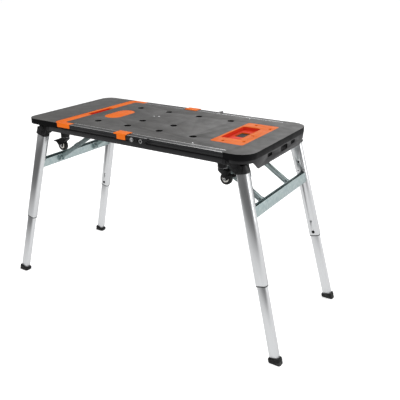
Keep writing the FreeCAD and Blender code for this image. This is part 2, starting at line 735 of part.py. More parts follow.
def make_latch_base(name, face):
    """Latch body on the deck's side: a plate with two bolt heads and a pivot pin."""
    rows = sorted((face * LATCH_FACE, face * (LATCH_FACE + 4.0)))
    plate = box(name + "_plate", ("latch_left", rows[0], "top_z - deck_depth"),
                ("latch_right", rows[1], "top_z - 3"))
    heads = []
    outside = face * (LATCH_FACE + 4.0)
    for index, x in enumerate((36.0, 58.0)):
        heads.append(rod("%s_head%d" % (name, index), 6.0, 3.0, (x, outside, 783.0), (0, face, 0)))
    pin = rod(name + "_pin", LATCH_PIN, 6.6, (LATCH_PIVOT[0], outside, LATCH_PIVOT[1]), (0, face, 0))
    return fuse(name, [plate, pin] + heads)


def make_latch_lever(name, face):
    """Thumb lever that turns on the latch's pin."""
    body = new_body(name)
    near, far = LATCH_FACE + 4.3, LATCH_FACE + 8.3
    x, z = LATCH_PIVOT
    profile = sketch(body, "XZ_Plane", "%f" % (-min(face * near, face * far)))
    draw_loop(profile, [(x - 9, z - 8, 5), (x + 6, z - 9, 5), (x + 42, z + 12, 2.5), (x + 40, z + 17, 2.5),
                        (x + 10, z + 10, 6), (x - 8, z + 8, 5)])
    feature = pad(body, profile, far - near)
    feature.Reversed = True
    bore_radius = LATCH_PIN + size["running_clearance"]
    bore = rod(name + "_bore", bore_radius, 20.0, (x, face * (near - 5), z), (0, face, 0))
    return cut(name, body, bore)


keep("latch_bases", group("latch_bases", [make_latch_base("latch_" + face_name, face)
                                          for face_name, face in FACES.items()]))
for face_name, face in FACES.items():
    keep("latch_lever_" + face_name, make_latch_lever("lever_" + face_name, face))

# ---------------------------------------------------------------- legs


def tube(name, placement, start, end, width, thick, wall, corner):
    """Tube with rounded corners, measured down a leg."""
    body = new_body(name, placement)
    profile = sketch(body, "XY_Plane", start)
    rectangle(profile, (-width / 2, -thick / 2), (width / 2, thick / 2), corner)
    inner = (width / 2 - wall, thick / 2 - wall)
    rectangle(profile, (-inner[0], -inner[1]), inner, max(corner - wall, 0.5))
    pad(body, profile, "( %s ) - ( %s )" % (end, start))
    return body


def make_upper_leg(name, end, face):
    """Upper leg tube with its height holes and the lock button's hole in the inner wall."""
    body = tube(name, leg_frame(end, face), "leg_start", "leg_end",
                size["leg_width"], size["leg_thick"], size["leg_wall"], size["leg_corner"])
    holes = sketch(body, "XZ_Plane")
    circle(holes, 0, size["gate_hole"], "gate_hole_radius")
    circle(holes, 0, size["detent_hole"], "gate_hole_radius")
    circle(holes, 0, size["button_place"], size["button_radius"] + 0.2)
    # The inner wall lies on the frame's +Y side when end and face have the same sign.
    pocket(body, holes, 20.0, reverse=(end * face < 0))
    return body


def make_leg_cap(name, end, face):
    """Moulded cap on a leg's top: solid around the hinge pin, a sleeve around the tube."""
    body = new_body(name, leg_frame(end, face))
    wall = 3.0
    half_width, half_thick = size["leg_width"] / 2 + wall, 17.4
    outline = sketch(body, "XY_Plane", "0 - cap_rise")
    rectangle(outline, (-half_width, -half_thick), (half_width, half_thick), 8.0)
    pad(body, outline, "cap_rise + cap_end")
    socket = sketch(body, "XY_Plane", "leg_start")
    rectangle(socket, (-size["leg_width"] / 2 - 0.1, -size["leg_thick"] / 2 - 0.1),
              (size["leg_width"] / 2 + 0.1, size["leg_thick"] / 2 + 0.1), size["leg_corner"])
    pocket(body, socket, 30.0, reverse=True)
    bore = rod(name + "_bore", "hinge_pin_radius + running_clearance", 80.0,
               (end * size["pivot_x"], face * 200.0, size["pivot_z"]), (0, face, 0))
    return cut(name, body, bore)


def make_collar(name, end, face):
    """Bush under the upper leg, a little narrower than the tube, which guides the lower leg."""
    step = 0.5
    width = size["leg_width"] - 2 * step
    thick = size["leg_thick"] - 2 * step
    return tube(name, leg_frame(end, face), "leg_end", "collar_end", width, thick,
                size["leg_wall"] - step, size["leg_corner"] - step)


def make_gusset(name, end, face):
    """Flat gusset on the inner face of a leg, from the bracket down to the crossbar."""
    body = new_body(name, leg_frame(end, face))
    inward = end * face
    face_place = inward * size["leg_thick"] / 2
    profile = sketch(body, "XZ_Plane", "%f" % -face_place)
    draw_loop(profile, [(-24, 22, 4), (22, 22, 4), (22, 149, 4), (-21, 149, 4)])
    circle(profile, 0, size["gate_hole"], "gate_hole_radius")
    feature = pad(body, profile, 2.0)
    feature.Reversed = inward > 0
    return body


def make_lower_leg(name, end, face):
    """Lower leg tube, which slides in the upper one."""
    gap = size["leg_wall"] + size["tube_gap"]
    width, thick = size["leg_width"] - 2 * gap, size["leg_thick"] - 2 * gap
    return tube(name, leg_frame(end, face), "inner_start", "foot_top + foot_socket", width, thick,
                size["inner_wall"], size["leg_corner"] - size["leg_wall"])


def make_foot(name, end, face):
    """Rubber foot: a socket for the lower leg and a sole cut level with the floor."""
    placement = leg_frame(end, face)
    body = new_body(name, placement)
    half_width, half_thick = size["foot_width"] / 2, size["foot_thick"] / 2
    outline = sketch(body, "XY_Plane", "foot_top")
    rectangle(outline, (-half_width, -half_thick), (half_width, half_thick), 9.0)
    pad(body, outline, 60.0)
    gap = size["leg_wall"] + size["tube_gap"]
    socket_x, socket_y = size["leg_width"] / 2 - gap, size["leg_thick"] / 2 - gap
    socket = sketch(body, "XY_Plane", "foot_top")
    rectangle(socket, (-socket_x, -socket_y), (socket_x, socket_y), size["leg_corner"] - size["leg_wall"])
    pocket(body, socket, "foot_socket", reverse=True)
    floor_x, floor_y = end * size["foot_x"], face * size["foot_y"]
    floor = box(name + "_floor", (floor_x - 80, floor_y - 80, -100), (floor_x + 80, floor_y + 80, 0))
    return cut(name, body, floor)


def make_button(name, end, face):
    """Lock button in the inner wall of the upper leg."""
    placement = leg_frame(end, face)
    inward = end * face
    # The button ends inside the wall, clear of the lower leg when it is pressed.
    sunk = 1.1
    base = placement.multVec(Vector(0, inward * (size["leg_thick"] / 2 - sunk), size["button_place"]))
    axis = placement.Rotation.multVec(Vector(0, inward, 0))
    return rod(name, "button_radius", "button_proud + %f" % sunk, base, axis)


def make_crossbar(name, end):
    """Channel between the legs, open upwards, with welded lugs and pins for the braces."""
    placement = hinge_frame(end)
    body = new_body(name, placement)
    top, bottom = size["bar_top"], size["bar_top"] + size["bar_height"]
    wall_y = [leg_centre_y(down) - size["leg_thick"] / 2 / math.cos(SPLAY) - 0.2 for down in (top, bottom)]
    face_outline = sketch(body, "YZ_Plane", "bar_back")
    draw_loop(face_outline, [(-wall_y[0], top, 0), (wall_y[0], top, 0), (wall_y[1], bottom, 0),
                             (-wall_y[1], bottom, 0)])
    pad(body, face_outline, "bar_depth")
    wall, back = size["bar_sheet"], size["bar_back"]
    channel = sketch(body, "XZ_Plane")
    rectangle(channel, (back + wall, top - 1), (back + size["bar_depth"] - wall, bottom - wall))
    pocket(body, channel, 600.0, middle=True)
    lugs = []
    clear = 0.4
    for index, middle in enumerate((-size["brace_y"], size["brace_y"])):
        for side in (-1, 1):
            near = middle + side * (size["brace_half_width"] + clear)
            far = near + side * size["bar_sheet"]
            low, high = sorted((near, far))
            lug = new_body("%s_lug%d%d" % (name, index, side + 1), placement)
            # The XZ plane faces the frame's -Y side, so its offset is the negative of Y.
            profile = sketch(lug, "XZ_Plane", "%f" % -high)
            down, back_edge = size["brace_down"], -size["brace_in"] - 9.0
            draw_loop(profile, [(back + 1, top + 2, 0), (back + 1, down + 26, 0),
                                (back_edge + 4, down + 18, 5), (back_edge, down - 2, 8),
                                (back_edge + 6, down - 12, 5)])
            pad(lug, profile, high - low)
            lugs.append(lug)
    welded = fuse(name, [body] + lugs)
    pins, bores = [], []
    for index, middle in enumerate((-size["brace_y"], size["brace_y"])):
        x, z = from_hinge(end, -size["brace_in"], size["brace_down"])
        reach = size["brace_half_width"] + clear + size["bar_sheet"]
        bores.append(rod("%s_bore%d" % (name, index), "brace_pin_radius", 2 * reach + 2,
                         (x, middle - reach - 1, z), (0, 1, 0)))
        shank = rod("%s_pin%d" % (name, index), "brace_pin_radius", 2 * reach,
                    (x, middle - reach, z), (0, 1, 0))
        heads = [rod("%s_head%d%d" % (name, index, side + 1), 6.5, 2.0,
                     (x, middle + side * reach, z), (0, side, 0))
                 for side in (-1, 1)]
        pins.append(fuse("%s_pin_%d" % (name, index), [shank] + heads))
    return group(name, [cut(name, welded, *bores)] + pins)


def make_braces(name, end):
    """Two channel braces welded to one rod, hinged on the crossbar's lugs."""
    low_x, low_z = from_hinge(end, -size["brace_in"], size["brace_down"])
    along = Vector(end * size["brace_top_x"] - low_x, 0, size["brace_top_z"] - low_z)
    length, radius = along.Length, size["brace_radius"]
    half = size["brace_half_width"]
    parts, bores = [], []
    for index, middle in enumerate((-size["brace_y"], size["brace_y"])):
        up = Vector(0, end, 0).cross(along)
        if up.z < 0:
            up = up * -1
        rotation = Rotation(along, up.cross(along), up, "XZY")
        body = new_body("%s_bar%d" % (name, index), Placement(Vector(low_x, middle, low_z), rotation))
        side = sketch(body, "XZ_Plane")
        draw_loop(side, [(-radius, -radius, radius * 0.999), (length + radius, -radius, radius * 0.999),
                         (length + radius, radius, radius * 0.999), (-radius, radius, radius * 0.999)])
        pad(body, side, "brace_half_width * 2", middle=True)
        hollow = sketch(body, "YZ_Plane")
        inner = half - size["brace_sheet"]
        rectangle(hollow, (-inner, -radius - 1), (inner, radius - size["brace_sheet"]))
        pocket(body, hollow, 2 * length + 100, middle=True)
        parts.append(body)
        bores.append(rod("%s_bore%d" % (name, index), "brace_pin_radius + running_clearance", 40.0,
                         (low_x, middle - 20, low_z), (0, 1, 0)))
    top = (end * size["brace_top_x"], -size["brace_y"] - half, size["brace_top_z"])
    parts.append(rod(name + "_rod", "rod_radius", "2 * brace_y + 2 * brace_half_width", top, (0, 1, 0)))
    return cut(name, fuse(name, parts), *bores)


for end_name, end in SIDES.items():
    for face_name, face in FACES.items():
        tag = "%s_%s" % (face_name, end_name)
        keep("upper_leg_" + tag, make_upper_leg("upper_" + tag, end, face))
        keep("lower_leg_" + tag, make_lower_leg("lower_" + tag, end, face))
        keep("foot_" + tag, make_foot("foot_" + tag, end, face))
        keep("lock_button_" + tag, make_button("button_" + tag, end, face))
    keep("leg_caps_" + end_name, group("leg_caps_" + end_name, [
        make_leg_cap("cap_%s_%s" % (face_name, end_name), end, face) for face_name, face in FACES.items()]))
    keep("leg_collars_" + end_name, group("leg_collars_" + end_name, [
        make_collar("collar_%s_%s" % (face_name, end_name), end, face) for face_name, face in FACES.items()]))
    keep("leg_gussets_" + end_name, group("leg_gussets_" + end_name, [
        make_gusset("gusset_%s_%s" % (face_name, end_name), end, face) for face_name, face in FACES.items()]))
    keep("crossbar_" + end_name, make_crossbar("crossbar_" + end_name, end))
    keep("brace_" + end_name, make_braces("brace_" + end_name, end))

# ---------------------------------------------------------------- casters


def make_caster_mount(name, end, face):
    """Mount under an end plate, with a bolting flange and a blind bore for the caster's stem."""
    x, y = end * size["caster_x"], face * size["caster_y"]
    block = box(name + "_block", (x - 30, y - 18, 746), (x + 30, y + 18, PLATE_BOTTOM))
    flange = box(name + "_flange", (x - 42, y - 17, 738), (x + 42, y + 17, 746))
    boss = rod(name + "_boss", 19.0, 35.0, (x, y, 716), (0, 0, 1))
    bore = rod(name + "_bore", "stem_radius + running_clearance", 26.0, (x, y, 715), (0, 0, 1))
    return cut(name, fuse(name, [block, flange, boss]), bore)


mounts = [make_caster_mount("mount_%s_%s" % (end_name, face_name), end, face)
          for end_name, face_name, end, face in CORNERS]
keep("caster_mounts", group("caster_mounts", mounts))


def caster_frame(end, face):
    """Frame on a caster's swivel axis at floor level, X towards the trailing wheel."""
    rotation = Rotation(Vector(0, 0, 1), 0 if end > 0 else 180)
    return Placement(Vector(end * size["caster_x"], face * size["caster_y"], 0), rotation)


def make_fork(name, end, face):
    """Hooded caster fork with its stem and the wheel's axle."""
    placement = caster_frame(end, face)
    trail, hub, wheel = size["caster_trail"], size["hub_z"], size["wheel_radius"]
    centre = placement.Base
    inner, outer = size["fork_inner"], size["fork_inner"] + size["fork_wall"]
    body = new_body(name, placement)
    cheeks = sketch(body, "XZ_Plane")
    draw_loop(cheeks, [(-16, 710, 2), (18, 710, 2), (32, 702, 6), (28, 688, 6), (trail + 7, hub - 7, 6),
                       (trail - 7, hub - 7, 6), (6, 688, 6), (-10, 700, 4)])
    pad(body, cheeks, outer * 2, middle=True)
    # Room for the wheel between the cheeks, with a hood left over its top.
    room = sketch(body, "XZ_Plane")
    circle(room, trail, hub, wheel + 2.0)
    pocket(body, room, inner * 2, middle=True)
    crown = rod(name + "_crown", 18.0, 7.5, centre + Vector(0, 0, 708), (0, 0, 1))
    stem = rod(name + "_stem", "stem_radius", 30.0, centre + Vector(0, 0, 709), (0, 0, 1))
    hub_point = placement.multVec(Vector(trail, -16.5, hub))
    side = placement.Rotation.multVec(Vector(0, 1, 0))
    axle = rod(name + "_axle", "axle_radius", 33.0, hub_point, side)
    return fuse(name, [body, crown, stem, axle])


def make_wheel(name, end, face):
    """Solid caster wheel with a rounded tread and a recessed hub."""
    placement = caster_frame(end, face)
    hub = placement.multVec(Vector(size["caster_trail"], 0, size["hub_z"]))
    body = new_body(name, Placement(hub, Rotation(Vector(1, 0, 0), 90)))
    profile = sketch(body, "XZ_Plane")
    bore = size["axle_radius"] + size["running_clearance"]
    radius, half = size["wheel_radius"], size["wheel_half"]
    draw_loop(profile, [(bore, -half, 0), (7, -half, 0), (8, -half + 2.5, 0), (14, -half + 2.5, 0),
                        (15, -half, 0), (radius, -half, 4), (radius, half, 4), (15, half, 0),
                        (14, half - 2.5, 0), (8, half - 2.5, 0), (7, half, 0), (bore, half, 0)])
    turned = body.newObject("PartDesign::Revolution", name + "_turned")
    turned.Profile = profile
    turned.ReferenceAxis = (profile, ["V_Axis"])
    turned.Angle = 360.0
    doc.recompute()
    return body


def make_pedal(name, end, face):
    """Brake pedal that straddles the fork and turns on the wheel's axle."""
    placement = caster_frame(end, face)
    trail, hub = size["caster_trail"], size["hub_z"]
    near = size["fork_inner"] + size["fork_wall"] + 0.5
    far = near + 2.0
    body = new_body(name, placement)
    side = sketch(body, "XZ_Plane")
    draw_loop(side, [(trail - 6, hub - 5, 4), (trail + 6, hub - 6, 4), (46, hub + 15, 3), (61, hub + 15, 2),
                     (61, hub + 19, 1.5), (42, hub + 20, 3), (trail - 6, hub + 6, 4)])
    pad(body, side, far * 2, middle=True)
    room = sketch(body, "XZ_Plane")
    draw_loop(room, [(-30, hub - 30, 0), (41, hub - 30, 0), (41, hub + 40, 0), (-30, hub + 40, 0)])
    pocket(body, room, near * 2, middle=True)
    bore_start = placement.multVec(Vector(trail, -30, hub))
    bore = rod(name + "_bore", "axle_radius + running_clearance", 60.0, bore_start,
               placement.Rotation.multVec(Vector(0, 1, 0)))
    return cut(name, body, bore)


for end_name, face_name, end, face in CORNERS:
    tag = "%s_%s" % (face_name, end_name)
    keep("caster_fork_" + tag, make_fork("fork_" + tag, end, face))
    keep("caster_wheel_" + tag, make_wheel("wheel_" + tag, end, face))
    keep("brake_pedal_" + tag, make_pedal("pedal_" + tag, end, face))

# ---------------------------------------------------------------- check and write

doc.recompute()
for obj in doc.Objects:
    if "Invalid" in obj.State or "Error" in obj.State:
        raise RuntimeError("%s failed: %s" % (obj.Label, obj.State))
if len(nodes) > 60:
    raise RuntimeError("too many nodes")
for node, obj in nodes:
    shape = obj.Shape
    if shape.isNull() or not shape.isValid() or not shape.Solids:
        raise RuntimeError("%s is not a valid solid" % node)
    shape.exportStep("parts/%s.step" % node)
    bounds = shape.BoundBox
    print("%-26s %2d solids %9.1f cm3  x %7.1f %7.1f  y %7.1f %7.1f  z %6.1f %6.1f" % (
        node, len(shape.Solids), shape.Volume / 1000.0, bounds.XMin, bounds.XMax,
        bounds.YMin, bounds.YMax, bounds.ZMin, bounds.ZMax))
print(len(nodes), "nodes")
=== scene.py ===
import json
import math

import bmesh
import bpy
from mathutils import Matrix, Vector


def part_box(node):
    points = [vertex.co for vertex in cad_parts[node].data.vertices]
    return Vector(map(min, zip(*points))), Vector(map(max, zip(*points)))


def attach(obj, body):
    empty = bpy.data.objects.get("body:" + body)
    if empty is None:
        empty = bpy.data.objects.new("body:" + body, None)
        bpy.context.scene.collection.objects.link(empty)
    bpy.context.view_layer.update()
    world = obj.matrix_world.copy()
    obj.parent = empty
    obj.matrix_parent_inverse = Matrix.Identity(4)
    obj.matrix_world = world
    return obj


# Folding work platform bench: materials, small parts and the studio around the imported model.
# Metres, +X towards the fixed end with the tool tray, -Y the front, +Z up, floor at zero.

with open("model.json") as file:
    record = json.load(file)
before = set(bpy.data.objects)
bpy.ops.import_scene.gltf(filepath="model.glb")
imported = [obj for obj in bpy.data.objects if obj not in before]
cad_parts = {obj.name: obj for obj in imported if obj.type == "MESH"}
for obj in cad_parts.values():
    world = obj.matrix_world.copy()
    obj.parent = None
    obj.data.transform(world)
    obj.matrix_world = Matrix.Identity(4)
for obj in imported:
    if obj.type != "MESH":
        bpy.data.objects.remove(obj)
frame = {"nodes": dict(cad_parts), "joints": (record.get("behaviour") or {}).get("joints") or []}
nodes = frame["nodes"]
joints = {joint["name"]: joint for joint in frame["joints"]}
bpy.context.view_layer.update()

MM = 0.001
ENDS = {"left": -1, "right": 1}
FACES = {"front": -1, "back": 1}
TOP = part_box("deck_panel")[1].z
TOP_MM = TOP * 1000

# ---------------------------------------------------------------- node tree helper


class Tree:
    """A short way to write a material's nodes: add() makes one and wires its inputs by name or index."""

    def __init__(self, name, world=None):
        self.material = world or bpy.data.materials.new(name)
        self.material.use_nodes = True
        self.tree = self.material.node_tree
        self.tree.nodes.clear()
        kinds = ("ShaderNodeBackground", "ShaderNodeOutputWorld") if world else (
            "ShaderNodeBsdfPrincipled", "ShaderNodeOutputMaterial")
        self.shader = self.add(kinds[0])
        self.output = self.add(kinds[1], Surface=self.shader)
        self.place = self.add("ShaderNodeTexCoord").outputs["Generated" if world else "Object"]

    def add(self, kind, settings=None, **inputs):
        node = self.tree.nodes.new(kind)
        for key, value in (settings or {}).items():
            setattr(node, key, value)
        for key, value in inputs.items():
            self.feed(node, key.replace("_", " "), value)
        return node

    def feed(self, node, key, value):
        socket = node.inputs[int(key[1:])] if key[0] == "i" and key[1:].isdigit() else node.inputs[key]
        if isinstance(value, bpy.types.Node):
            value = value.outputs[0]
        if isinstance(value, bpy.types.NodeSocket):
            self.tree.links.new(value, socket)
        else:
            socket.default_value = value

    def set(self, **values):
        for key, value in values.items():
            self.feed(self.shader, key.replace("_", " "), value)

    def math(self, operation, first, second=0.0, clamp=False):
        settings = {"operation": operation, "use_clamp": clamp}
        return self.add("ShaderNodeMath", settings, i0=first, i1=second).outputs[0]

    def parts(self, vector):
        return self.add("ShaderNodeSeparateXYZ", None, Vector=vector).outputs

    def direction(self):
        """Height, width and depth parts of the direction looked in, for a world."""
        x, y, z = self.parts(self.place)
        return z, x, y

    def noise(self, scale, detail=3.0, roughness=0.5, vector=None):
        node = self.add("ShaderNodeTexNoise", None, Vector=vector or self.place, Scale=scale, Detail=detail,
                        Roughness=roughness)
        return node.outputs["Fac"]

    def span(self, value, low, high, to_low=0.0, to_high=1.0):
        node = self.add("ShaderNodeMapRange", None, Value=value)
        for key, number in (("From Min", low), ("From Max", high), ("To Min", to_low), ("To Max", to_high)):
            self.feed(node, key, number)
        return node.outputs["Result"]

    def mix(self, factor, first, second):
        node = self.add("ShaderNodeMix", {"data_type": "RGBA"})
        self.feed(node, "i0", factor)
        self.feed(node, "i6", first)
        self.feed(node, "i7", second)
        return node.outputs[2]

    def stretched(self, scale, rotation=(0, 0, 0)):
        """Object coordinates turned to line up with a direction, then stretched."""
        turned = self.add("ShaderNodeVectorRotate", {"rotation_type": "EULER_XYZ"}, Vector=self.place,
                          Rotation=rotation)
        return self.add("ShaderNodeVectorMath", {"operation": "MULTIPLY"}, i0=turned, i1=scale).outputs[0]

    def edge_wear_and_highlight(self, low=0.515, high=0.6):
        """Where convex edges are, from the mesh's own curvature."""
        return self.span(self.add("ShaderNodeNewGeometry").outputs["Pointiness"], low, high)

    def bump(self, height, strength, distance, normal=None):
        node = self.add("ShaderNodeBump", None, Height=height, Strength=strength, Distance=distance)
        if normal is not None:
            self.feed(node, "Normal", normal)
        return node.outputs["Normal"]


def colour(red, green, blue):
    return (red, green, blue, 1.0)


def moulded_plastic(name, base, light, roughness, grain=900.0, depth=0.00008, strength=0.5, shaded_sides=None,
                    shine=0.25):
    """Fine-grained moulded plastic with cloudy tone, faint scuffs, convex edges lightened as wear and as a
    painted highlight, and, when a side colour is given, upright faces made darker and less shiny as painted
    shade.
    """
    tree = Tree(name)
    cloud = tree.noise(7.0, 4.0)
    speck = tree.noise(grain, 2.0, 0.6)
    scuff = tree.noise(1.0, 5.0, 0.7, tree.stretched((40.0, 260.0, 90.0), (0.3, 0.2, 0.5)))
    tone = tree.mix(tree.span(cloud, 0.35, 0.65), base, light)
    marks = tree.math("MULTIPLY", tree.span(scuff, 0.62, 0.78), 0.25)
    tone = tree.mix(marks, tone, colour(*[min(1.0, 1.5 * part + 0.02) for part in light[:3]]))
    # Painted highlight along with wear: convex edges are lightened.
    tone = tree.mix(tree.math("MULTIPLY", tree.edge_wear_and_highlight(), 0.35), tone,
                    colour(*[min(1.0, 1.6 * part + 0.02) for part in light[:3]]))
    rough = tree.span(tree.noise(25.0, 3.0), 0.3, 0.7, roughness - 0.06, roughness + 0.06)
    tree.set(Specular_IOR_Level=shine)
    if shaded_sides is not None:
        # Painted shade: faces turned away from up take the darker side colour and less shine.
        upward = tree.parts(tree.add("ShaderNodeTexCoord").outputs["Normal"])[2]
        tone = tree.mix(tree.span(upward, 0.35, 0.9), shaded_sides, tone)
        tree.set(Specular_IOR_Level=tree.span(upward, 0.35, 0.9, 0.3 * shine, shine))
    tree.set(Base_Color=tone, Roughness=rough, Normal=tree.bump(speck, strength, depth))
    return tree.material


def powder_coat(name, base, roughness=0.45):
    """Black powder coat: orange peel, cloudy tone, edges rubbed bare."""
    tree = Tree(name)
    peel = tree.noise(520.0, 3.0, 0.55)
    cloud = tree.noise(18.0, 4.0)
    tone = tree.mix(tree.span(cloud, 0.3, 0.7), base, colour(*[1.7 * part for part in base[:3]]))
    tone = tree.mix(tree.math("MULTIPLY", tree.edge_wear_and_highlight(0.53, 0.64), 0.3), tone, colour(0.22, 0.22, 0.23))
    rough = tree.span(tree.noise(60.0, 3.0), 0.3, 0.7, roughness - 0.08, roughness + 0.1)
    tree.set(Base_Color=tone, Roughness=rough, Specular_IOR_Level=0.2, Normal=tree.bump(peel, 0.35, 0.00012))
    return tree.material


# How strongly a leg's flat faces shade as convex ones.
CROWN_PER_METRE = 8.0


def brushed_metal(name, base, dark, roughness, rotation, along=(1.0, 1.0, 0.02), depth=0.00003, crown=None):
    """Satin metal with fine lines along one direction and soft cloudiness across it.

    A crown is the centre line of a tube, in turned coordinates: its faces then shade as gently convex.
    """
    tree = Tree(name)
    scale = tuple(1500.0 * part for part in along)
    lines = tree.noise(1.0, 4.0, 0.6, tree.stretched(scale, rotation))
    broad = tree.noise(1.0, 3.0, 0.5, tree.stretched(tuple(60.0 * part for part in along), rotation))
    cloud = tree.noise(9.0, 4.0, 0.55)
    tone = tree.mix(tree.span(lines, 0.3, 0.7), dark, base)
    tone = tree.mix(tree.math("MULTIPLY", tree.span(broad, 0.35, 0.7), 0.5), tone, base)
    tone = tree.mix(tree.math("MULTIPLY", tree.span(cloud, 0.5, 0.75), 0.2), tone, dark)
    rough = tree.span(lines, 0.25, 0.75, roughness - 0.07, roughness + 0.07)
    curved = None
    if crown is not None:
        u, v, _ = tree.parts(tree.stretched((1.0, 1.0, 1.0), rotation))
        rise = [tree.math("POWER", tree.math("ABSOLUTE", tree.math("SUBTRACT", part, middle)), 2.0)
                for part, middle in zip((u, v), crown)]
        sag = tree.math("MULTIPLY", tree.math("ADD", rise[0], rise[1]), -CROWN_PER_METRE)
        curved = tree.bump(sag, 1.0, 1.0)
    tree.set(Base_Color=tone, Roughness=rough, Metallic=1.0, Normal=tree.bump(lines, 0.25, depth, curved))
    tree.shader.inputs["Anisotropic"].default_value = 0.5
    return tree.material


def zinc_plate(name):
    """Pale zinc plate with a faint blue-green cast, soft patches and fine rolling lines."""
    tree = Tree(name)
    patch = tree.add("ShaderNodeTexVoronoi", {"feature": "SMOOTH_F1"}, Vector=tree.place, Scale=90.0,
                     Randomness=1.0)
    cast = tree.span(patch.outputs["Distance"], 0.1, 0.7)
    cloud = tree.noise(14.0, 5.0, 0.6)
    tone = tree.mix(cast, colour(0.47, 0.54, 0.54), colour(0.34, 0.42, 0.43))
    tone = tree.mix(tree.math("MULTIPLY", tree.span(cloud, 0.4, 0.7), 0.5), tone, colour(0.42, 0.50, 0.48))
    rough = tree.span(cloud, 0.3, 0.7, 0.28, 0.46)
    tree.set(Base_Color=tone, Roughness=rough, Metallic=1.0,
             Normal=tree.bump(tree.noise(300.0, 3.0), 0.2, 0.00006))
    return tree.material


def rubber(name, base):
    """Matt black rubber, dusty and slightly pitted."""
    tree = Tree(name)
    pits = tree.noise(700.0, 3.0, 0.6)
    dust = tree.noise(30.0, 5.0, 0.65)
    tone = tree.mix(tree.math("MULTIPLY", tree.span(dust, 0.5, 0.8), 0.5), base, colour(0.13, 0.13, 0.125))
    tree.set(Base_Color=tone, Roughness=tree.span(dust, 0.3, 0.7, 0.6, 0.85),
             Normal=tree.bump(pits, 0.4, 0.0001))
    tree.shader.inputs["Specular IOR Level"].default_value = 0.3
    return tree.material


def bright_steel(name, base=(0.78, 0.78, 0.79), roughness=0.22):
    """Bright fastener steel with fine wear."""
    tree = Tree(name)
    fine = tree.noise(400.0, 3.0, 0.6)
    tone = tree.mix(tree.span(tree.noise(60.0, 3.0), 0.35, 0.7), colour(*base),
                    colour(*[0.7 * part for part in base]))
    tree.set(Base_Color=tone, Roughness=tree.span(fine, 0.3, 0.7, roughness - 0.06, roughness + 0.1),
             Metallic=1.0, Normal=tree.bump(fine, 0.15, 0.00003))
    return tree.material


LEG_AXIS = {}
for end_name in ENDS:
    for face_name in FACES:
        LEG_AXIS[(end_name, face_name)] = Vector(joints["%s_%s_leg_extend" % (face_name, end_name)]["axis"])

# The deck's upright faces are painted near black, as painted shade.
deck_plastic = moulded_plastic("deck_plastic", colour(0.042, 0.041, 0.040), colour(0.058, 0.056, 0.054), 0.55,
                               900.0, 0.00012, 0.7, colour(0.004, 0.004, 0.0045))
black_plastic = moulded_plastic("black_plastic", colour(0.008, 0.008, 0.009), colour(0.014, 0.014, 0.015),
                                0.42)
orange_plastic = moulded_plastic("orange_plastic", colour(0.66, 0.115, 0.006), colour(0.71, 0.14, 0.009), 0.5,
                                 700.0, 0.00006, 0.35, shine=0.05)
# Deep red that stands for shade: painted shade inside the tray's recess, its rests and the finger recess.
painted_shade_red = moulded_plastic("painted_shade_red", colour(0.50, 0.022, 0.006), colour(0.56, 0.03, 0.008), 0.5,
                              700.0, 0.00006, 0.35, shine=0.05)
black_coat = powder_coat("black_coat", colour(0.005, 0.005, 0.0055))
zinc = zinc_plate("zinc_plate")
black_rubber = rubber("black_rubber", colour(0.010, 0.010, 0.010))
fastener = bright_steel("fastener_steel")
bright = bright_steel("polished_steel", (0.93, 0.93, 0.93), 0.3)
hub_plastic = moulded_plastic("hub_plastic", colour(0.55, 0.53, 0.49), colour(0.62, 0.60, 0.56), 0.5)
gloss_black = moulded_plastic("gloss_black", colour(0.01, 0.01, 0.011), colour(0.016, 0.016, 0.017), 0.2,
                              400.0, 0.00002, 0.15)
rail_black = moulded_plastic("rail_black", colour(0.014, 0.014, 0.015), colour(0.022, 0.022, 0.023), 0.4,
                             500.0, 0.00003, 0.2, shine=0.12)
leg_metal = {}
for (end_name, face_name), axis in LEG_AXIS.items():
    turn = axis.rotation_difference(Vector((0, 0, 1)))
    low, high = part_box("lower_leg_%s_%s" % (face_name, end_name))
    centre = turn @ ((low + high) / 2)
    leg_metal[(end_name, face_name)] = brushed_metal(
        "leg_metal_%s_%s" % (face_name, end_name), colour(0.74, 0.75, 0.76), colour(0.6, 0.61, 0.62), 0.34,
        tuple(turn.to_euler()), crown=(centre.x, centre.y))

# ---------------------------------------------------------------- CAD nodes: finish and soft edges


def finish(name, material, edge=0.0006, segments=2, angle=35.0):
    """Give a CAD node its material and ease its sharp edges."""
    node = nodes[name]
    node.data.materials.clear()
    node.data.materials.append(material)
    if edge:
        weld = node.modifiers.new("weld", "WELD")
        weld.merge_threshold = 0.00001
        flat = node.modifiers.new("flat", "DECIMATE")
        flat.decimate_type = "DISSOLVE"
        flat.angle_limit = math.radians(1.0)
        bevel = node.modifiers.new("edges", "BEVEL")
        bevel.width = edge
        bevel.segments = segments
        bevel.limit_method = "ANGLE"
        bevel.angle_limit = math.radians(angle)
        bevel.use_clamp_overlap = True
        bevel.harden_normals = True
    for polygon in node.data.polygons:
        polygon.use_smooth = True
    return node


